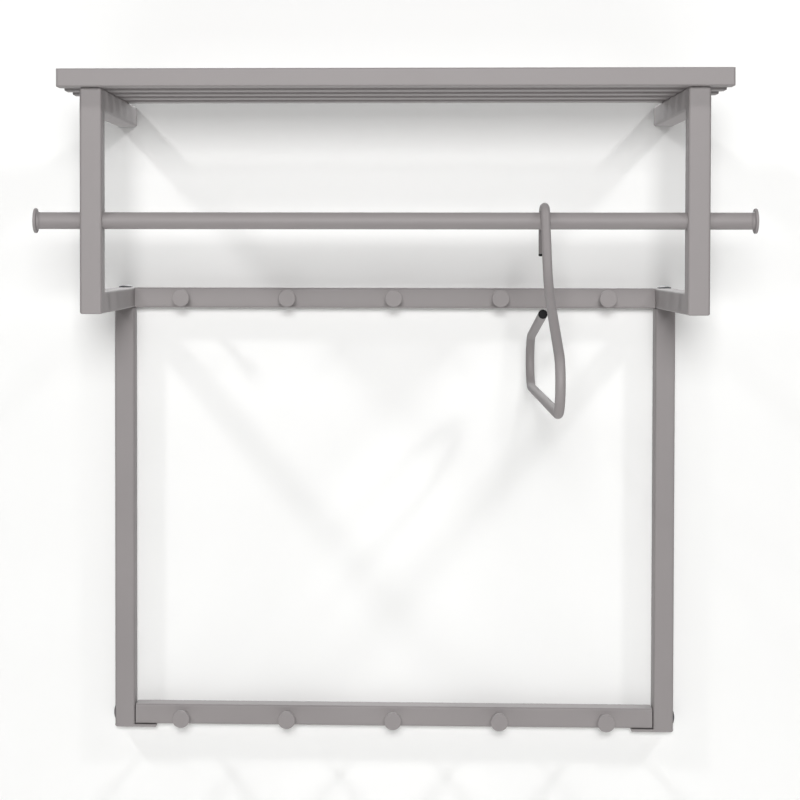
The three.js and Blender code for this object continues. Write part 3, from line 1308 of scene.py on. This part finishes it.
@dataclass
class Upright:
    """Upright of the wall frame with the foot plate that carries the rail's end."""

    shop: Workshop
    side: Side
    centre: float = 337.5
    top: float = -12.8
    bottom: float = -541.5
    foot: float = 3.0
    tongue: float = 27.0
    foot_corner: float = 3.0
    tongue_corner: float = 1.0
    rail_level: float = -525.0
    bolt_hole: float = 6.7
    corner_flats: int = 6
    weld: float = 0.5
    tube_sink: float = 0.2
    skin: float = 0.02
    rounding: float = 0.25

    def foot_outline(self) -> list[Point]:
        """Outlines the foot as seen from the front.

        Returns:
            Points as (outwards from the upright's middle, up).
        """
        half = TUBE.side / 2
        outer, inner = self.foot_corner, self.tongue_corner
        lift = self.foot + self.weld
        return [
            (half - self.skin, lift),
            *edge_arc((half - outer, outer), outer, 0, -90, self.corner_flats),
            *edge_arc((-half - self.tongue + inner, inner), inner, 270, 180),
            (-half - self.tongue, self.foot),
            (-half + self.weld, self.foot),
            (-half + self.weld, lift),
        ]

    def build(self) -> None:
        """Makes the tube and its foot as one welded piece, drilled for the rail's bolt."""
        sign = self.side.value
        x = sign * self.centre
        base = self.bottom + self.foot
        path = [(x, -TUBE.side, self.top), (x, -TUBE.side, base + self.tube_sink)]
        made = TUBE.sweep(f"upright_post_{self.side.word}", path, (1, 0, 0))
        outline = [(sign * u, v) for u, v in self.foot_outline()]
        foot = prism("foot", outline, self.skin, TUBE.side - self.skin)
        stand = Matrix.Translation((x * MM, 0, self.bottom * MM)) @ Matrix.Rotation(
            RIGHT_ANGLE, 4, "X"
        )
        moved(foot, stand)
        combine(made, [foot], Merge.WELD)
        carve(made, [Drill(self.bolt_hole).along(Axis.X, (x, -TUBE.side / 2, self.rail_level))])
        soften(made, self.rounding)
        nodes = [f"{part}_{self.side.word}" for part in ("upright", "foot_plate")]
        self.shop.install(made, self.shop.palette.powder, Slot.POWDER_COAT, Body.RACK, nodes)


@dataclass
class ConnectorBolts:
    """Wide-headed socket bolts that join the uprights to the arms and to the lower rail."""

    shop: Workshop
    centre: float = 337.5
    depth: float = -12.5
    arm_top: float = 12.5
    rail_level: float = -525.0
    shank: float = 3.0
    length: float = 40.0
    head: float = 8.75
    rim: float = 1.0
    dome: float = 1.8
    edge: float = 0.3
    socket: float = 4.0
    socket_depth: float = 1.8
    lead: float = 0.6
    seat: float = 0.05
    edge_turn: float = 60.0
    edge_flats: int = 3
    flats: int = 64
    overcut: float = 1.0
    rounding: float = 0.12
    crown_shares: tuple[float, ...] = (0.95, 0.85, 0.7, 0.5, 0.3)

    def profile(self) -> list[Point]:
        """Outlines the bolt.

        Returns:
            (radius, height above the seat) corners from its tip to its crown.
        """
        inner = self.head - self.edge
        crown = [
            (self.head * share, self.rim + self.dome * (1 - share**2))
            for share in self.crown_shares
        ]
        return [
            (0, -self.length),
            (self.shank - self.lead, -self.length),
            (self.shank, -self.length + self.lead),
            (self.shank, self.seat),
            (inner, self.seat),
            (self.head, self.seat + self.edge),
            *edge_arc((inner, self.rim - self.edge), self.edge, 0, self.edge_turn, self.edge_flats),
            *crown,
            (0, self.rim + self.dome),
        ]

    def build(self) -> None:
        """Makes one bolt with its hexagon socket and places the four."""
        black = self.shop.palette.bolt
        bolt = self.shop.turned.make("connector_bolt", self.profile(), black, self.flats)
        top = self.rim + self.dome
        corners = disc_outline(2 * self.socket / math.sqrt(3), HEXAGON)
        key = prism("key", corners, top - self.socket_depth, top + self.overcut)
        carve(bolt, [key])
        soften(bolt, self.rounding)
        places = []
        for side in Side:
            x = side.value * self.centre * MM
            outer = x + side.value * TUBE.side / 2 * MM
            places.append(((x, self.depth * MM, self.arm_top * MM), (0.0, 0.0, 0.0)))
            tilt = (0.0, side.value * RIGHT_ANGLE, 0.0)
            places.append(((outer, self.depth * MM, self.rail_level * MM), tilt))
        made = self.shop.placed.make("connector_bolts", bolt, places, black)
        soften(made)
        nodes = [f"{part}_{side.word}" for side in Side for part in ("arm_bolt", "rail_bolt")]
        self.shop.install(made, black, Slot.BLACK_BOLT, Body.RACK, nodes)


@dataclass
class ThreadedBlocks:
    """Zinc-plated blocks in the tube ends that the bolts enter. Their CAD shape is kept."""

    shop: Workshop

    def build(self) -> None:
        """Gives each block its finish."""
        for part in ("upright_block", "rail_block"):
            for side in Side:
                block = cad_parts[f"{part}_{side.word}"]
                block.data.materials.clear()
                block.data.materials.append(self.shop.palette.zinc)
                LOG.info("%s: dressed", block.name)


@dataclass
class GarmentRod:
    """Round rod through both posts with a domed stop pressed into each end."""

    shop: Workshop
    place: Point = (-277.5, 92.0)
    end: float = 396.1
    radius: float = 9.5
    chamfer: float = 0.3
    collar: float = 3.5
    disc: float = 14.0
    rim: float = 3.2
    dome: float = 1.2
    edge: float = 0.9
    fillet: float = 1.0
    seat: float = 0.05
    edge_turn: float = 80.0
    flats: int = 64
    crown_shares: tuple[float, ...] = (0.97, 0.9, 0.8, 0.65, 0.45, 0.25)

    def stop_profile(self) -> list[Point]:
        """Outlines the stop.

        Returns:
            (radius, height) corners from the rod's end to the domed face.
        """
        face = self.collar + self.rim
        inner = self.disc - self.edge
        root = edge_arc(
            (self.radius + self.fillet, self.collar - self.fillet), self.fillet, 180, 90
        )
        under = edge_arc((inner, self.collar + self.edge), self.edge, -90, 0)
        over = edge_arc((inner, face - self.edge), self.edge, 0, self.edge_turn)
        crown = [
            (inner * share, face + self.dome * (1 - share**2)) for share in self.crown_shares
        ]
        return [
            (0, self.seat),
            (self.radius - self.chamfer, self.seat),
            (self.radius, self.seat + self.chamfer),
            *root,
            *under,
            *over,
            *crown,
            (0, face + self.dome),
        ]

    def build(self) -> None:
        """Makes the rod and its two stops."""
        powder = self.shop.palette.powder
        bevel = self.radius - self.chamfer
        run = self.end - self.chamfer
        profile = [
            (0, -self.end),
            (bevel, -self.end),
            (self.radius, -run),
            (self.radius, run),
            (bevel, self.end),
            (0, self.end),
        ]
        seat = Matrix.Translation((0, self.place[0] * MM, self.place[1] * MM))
        rod = self.shop.turned.make("garment_rod_tube", profile, powder, self.flats)
        moved(rod, seat @ Matrix.Rotation(RIGHT_ANGLE, 4, "Y"))
        soften(rod)
        self.shop.install(rod, powder, Slot.POWDER_COAT, Body.ROD, ["garment_rod"])
        stop = self.shop.turned.make("rod_stop", self.stop_profile(), powder, self.flats)
        places = [
            (
                (side.value * self.end * MM, self.place[0] * MM, self.place[1] * MM),
                (0.0, side.value * RIGHT_ANGLE, 0.0),
            )
            for side in Side
        ]
        stops = soften(self.shop.placed.make("rod_end_stops", stop, places, powder))
        nodes = [f"rod_stop_{side.word}" for side in Side]
        self.shop.install(stops, powder, Slot.POWDER_COAT, Body.ROD, nodes)


@dataclass
class Hanger:
    """Hanger of one round bar bent in a plane square to the wall, with a plug in each end."""

    shop: Workshop
    pivot: Place = (168.0, -277.5, 92.0)
    bar: float = 10.5
    rod: float = 19.0
    hook_play: float = 2.2
    hook_gap: float = 0.3
    hook_leg: float = 34.5
    hook_lean: float = 28.0
    neck_bend: float = 110.0
    shoulder_slope: float = 24.0
    arm_slope: float = 9.8
    tip_bend: float = 32.0
    tip_reach: float = 221.7
    drop: float = 199.0
    loop_shift: float = 2.3
    arm_reach: float = 18.0
    cap_length: float = 3.0
    cap_edge: float = 0.9
    cap_seat: float = 0.08
    cap_chamfer: float = 0.15
    cap_edge_turn: float = 80.0
    cap_crown: float = 0.2
    cap_crown_share: float = 0.5
    cap_crown_drop: float = 0.05
    bend_step: float = 4.0
    sides: int = 40
    rounding: float = 0.2

    def arc(self, centre: Point, radius: float, start: float, end: float) -> list[Heading]:
        """Points along one bend with the heading at each.

        Args:
            centre: the bend's centre, away from the wall and up from the rod's centre.
            radius: its radius.
            start: its first angle in radians.
            end: its last angle in radians.

        Returns:
            Pairs of a point and a heading in radians.
        """
        steps = math.ceil(abs(end - start) / math.radians(self.bend_step))
        turn = math.copysign(RIGHT_ANGLE, end - start)
        made = []
        for i in range(steps + 1):
            angle = start + (end - start) * i / steps
            at = (centre[0] + radius * math.cos(angle), centre[1] + radius * math.sin(angle))
            made.append((at, angle + turn))
        return made

    def route(self) -> list[Heading]:
        """Lays out the bar's centre line.

        Returns:
            Pairs of a point and a heading, from the hook's leg round to the open arm end.
        """
        hook_bend = (self.rod + self.bar) / 2 + self.hook_play
        hook = self.arc(
            (0, self.hook_gap - self.hook_play), hook_bend, math.pi, math.radians(self.hook_lean)
        )
        tip = self.tip_reach - self.tip_bend
        low = self.tip_bend - self.drop
        front = self.arc(
            (tip - self.loop_shift, low),
            self.tip_bend,
            math.radians(90 - self.shoulder_slope),
            -RIGHT_ANGLE,
        )
        back = self.arc(
            (-tip - self.loop_shift, low),
            self.tip_bend,
            -RIGHT_ANGLE,
            math.radians(self.arm_slope - 270),
        )
        half_turn = math.radians(90 - self.hook_lean - self.shoulder_slope) / 2
        corner = self.meet(hook[-1], front[0])
        inward = hook[-1][1] + half_turn + RIGHT_ANGLE
        outset = self.neck_bend / math.cos(half_turn)
        centre = (corner[0] + outset * math.cos(inward), corner[1] + outset * math.sin(inward))
        middle = inward - math.pi
        neck = self.arc(centre, self.neck_bend, middle - half_turn, middle + half_turn)
        leg = ((hook[0][0][0], hook[0][0][1] - self.hook_leg), hook[0][1])
        (arm_x, arm_y), heading = back[-1]
        run = (-self.arm_reach - arm_x) / math.cos(heading)
        end = ((-self.arm_reach, arm_y + run * math.sin(heading)), heading)
        return [leg, *hook, *neck, *front, *back, end]

    @staticmethod
    def meet(first: Heading, second: Heading) -> Point:
        """Finds where two lines cross.

        Args:
            first: a point on one line and that line's heading in radians.
            second: a point on the other line and its heading.

        Returns:
            The crossing.
        """
        (ax, ay), heading_a = first
        (bx, by), heading_b = second
        ux, uy = math.cos(heading_a), math.sin(heading_a)
        vx, vy = math.cos(heading_b), math.sin(heading_b)
        along = ((bx - ax) * vy - (by - ay) * vx) / (ux * vy - uy * vx)
        return ax + ux * along, ay + uy * along

    def place(self, point: Point) -> Place:
        """A point of the hanger's plane as its place in metres."""
        x, y, z = self.pivot
        return x * MM, (y - point[0]) * MM, (z + point[1]) * MM

    def cap_profile(self) -> list[Point]:
        """Outlines the plug's head.

        Returns:
            (radius, height) corners from the bar's end to the face.
        """
        radius = self.bar / 2
        centre = (radius - self.cap_edge, self.cap_length - self.cap_edge - self.cap_crown)
        return [
            (0, self.cap_seat),
            (radius - self.cap_chamfer, self.cap_seat),
            (radius, self.cap_seat + self.cap_chamfer),
            *edge_arc(centre, self.cap_edge, 0, self.cap_edge_turn),
            (radius * self.cap_crown_share, self.cap_length - self.cap_crown_drop),
            (0, self.cap_length),
        ]

    def build(self) -> None:
        """Makes the bar and its two plugs."""
        powder, black = self.shop.palette.powder, self.shop.palette.cap
        route = self.route()
        points = [self.place(at) for at, _ in route]
        edges = [(i, i + 1) for i in range(len(points) - 1)]
        made = self.shop.bar.run(
            mesh_object("hanger_bent_bar", points, edges, []),
            diameter=self.bar * MM,
            sides=self.sides,
            finish=powder,
        )
        soften(made, self.rounding)
        self.shop.install(made, powder, Slot.POWDER_COAT, Body.HANGER, ["hanger_bar"])
        cap = self.shop.turned.make("cap", self.cap_profile(), black, self.sides)
        (leg, _), (arm, heading) = route[0], route[-1]
        tilt = math.atan2(-math.cos(heading), math.sin(heading))
        places = [
            (self.place(leg), (math.pi, 0.0, 0.0)),
            (self.place(arm), (-tilt, 0.0, 0.0)),
        ]
        caps = soften(self.shop.placed.make("hanger_end_plugs", cap, places, black))
        nodes = ["hanger_cap_hook", "hanger_cap_arm"]
        self.shop.install(caps, black, Slot.BLACK_CAP, Body.HANGER, nodes)


# ------------------------------------------------------------------------------ studio


# Metres from the rack's back to the wall's face.
WALL_GAP = 0.0006


@dataclass(frozen=True)
class SoftLight:
    """A square area light, with its power in watts and its lengths in metres."""

    name: str
    place: Place
    power: float
    size: float
    aim: Place = (0.0, 0.0, -0.1)

    def hang(self) -> None:
        """Adds the light to the scene, out of the camera's sight."""
        lamp = bpy.data.lights.new(self.name, "AREA")
        lamp.energy = self.power
        lamp.size = self.size
        made = bpy.data.objects.new(self.name, lamp)
        made.location = self.place
        heading = Vector(self.aim) - Vector(self.place)
        made.rotation_euler = heading.to_track_quat("-Z", "Y").to_euler()
        made.visible_camera = False
        bpy.context.scene.collection.objects.link(made)


@dataclass
class Studio:
    """Wall, floor, soft lights and camera, in metres and radians.

    The wall takes no part in the light that falls on the rack, so the rack's back can be lit
    from behind. The last light lies in the wall's plane and stands for what the wall reflects.
    """

    soft_lights: tuple[SoftLight, ...] = (
        SoftLight("main_soft", (0.0, -4.2, 0.85), 119.0, 1.0),
        SoftLight("key_left", (-2.4, -1.4, 2.4), 33.0, 0.3),
        SoftLight("key_right", (2.4, -1.4, 2.4), 33.0, 0.3),
        SoftLight("back_fill", (0.0, 3.0, 1.5), 40.0, 2.0),
        SoftLight("wall_bounce", (0.0, WALL_GAP / 2, -0.14), 10.0, 2.4, (0.0, -1.0, -0.14)),
    )
    wall_size: tuple[float, float] = (7.0, 4.2)
    floor_level: float = -1.3
    floor_size: float = 9.0
    sky: str = "#FFFFFF"
    sky_strength: float = 0.1
    camera_place: Place = (0.0055, -2.4165, 0.0569)
    camera_yaw: float = 0.0358
    camera_pitch: float = 0.0235
    camera_roll: float = 0.0014
    lens: float = 86.183
    sensor: float = 36.0
    shift: Point = (0.0881, -0.1284)

    def backdrop(self) -> None:
        """Makes the white wall and the pale floor."""
        half, height = self.wall_size[0] / 2, self.wall_size[1]
        y, low = WALL_GAP, self.floor_level
        high = low + height
        corners = [(-half, y, low), (half, y, low), (half, y, high), (-half, y, high)]
        wall = mesh_object("studio_wall", corners, [], [(0, 1, 2, 3)])
        wall.data.materials.append(StudioPaint("wall_emulsion").material())
        wall.visible_shadow = False
        wall.visible_diffuse = False
        wall.visible_glossy = False
        reach = self.floor_size / 2
        square = ((-reach, -reach), (reach, -reach), (reach, reach), (-reach, reach))
        floor = mesh_object("studio_floor", [(*at, low) for at in square], [], [(0, 1, 2, 3)])
        floor.data.materials.append(StudioPaint("floor_emulsion").material())

    def lights(self) -> None:
        """Sets the pale sky and hangs the lights."""
        world = bpy.data.worlds.new("studio_sky")
        bpy.context.scene.world = world
        world.use_nodes = True
        sky = world.node_tree.nodes["Background"]
        sky.inputs["Color"].default_value = linear(self.sky)
        sky.inputs["Strength"].default_value = self.sky_strength
        for soft_light in self.soft_lights:
            soft_light.hang()

    def camera(self) -> None:
        """Makes the camera."""
        lens = bpy.data.cameras.new("camera")
        lens.lens = self.lens
        lens.sensor_width = self.sensor
        lens.shift_x, lens.shift_y = self.shift
        lens.dof.use_dof = False
        made = bpy.data.objects.new("camera", lens)
        bpy.context.scene.collection.objects.link(made)
        turn = (
            Matrix.Rotation(self.camera_yaw, 4, "Z")
            @ Matrix.Rotation(RIGHT_ANGLE - self.camera_pitch, 4, "X")
            @ Matrix.Rotation(self.camera_roll, 4, "Z")
        )
        made.matrix_world = Matrix.Translation(self.camera_place) @ turn
        bpy.context.scene.camera = made

    def build(self) -> None:
        """Sets the whole studio."""
        self.backdrop()
        self.lights()
        self.camera()
        bpy.context.scene.view_settings.view_transform = "Standard"


def main() -> None:
    """Builds the rack in order, then the studio round it."""
    logging.basicConfig(level=logging.INFO, format="%(name)s %(message)s")
    palette = Palette(
        powder=PowderCoat().material(),
        bolt=BlackOxide().material(),
        zinc=ZincPlate().material(),
        cap=MouldedPolyethylene().material(),
    )
    shop = Workshop(palette)
    Shelf(shop).build()
    for side in Side:
        Bracket(shop, side).build()
    KeyholePlates(shop).build()
    PegRail(shop, Row.TOP, level=0.0, reach=325.0).build()
    PegRail(shop, Row.BOTTOM, level=-525.0, reach=324.0).build()
    for side in Side:
        Upright(shop, side).build()
    ConnectorBolts(shop).build()
    ThreadedBlocks(shop).build()
    GarmentRod(shop).build()
    Hanger(shop).build()
    Studio().build()


if __name__ == "__main__":
    main()
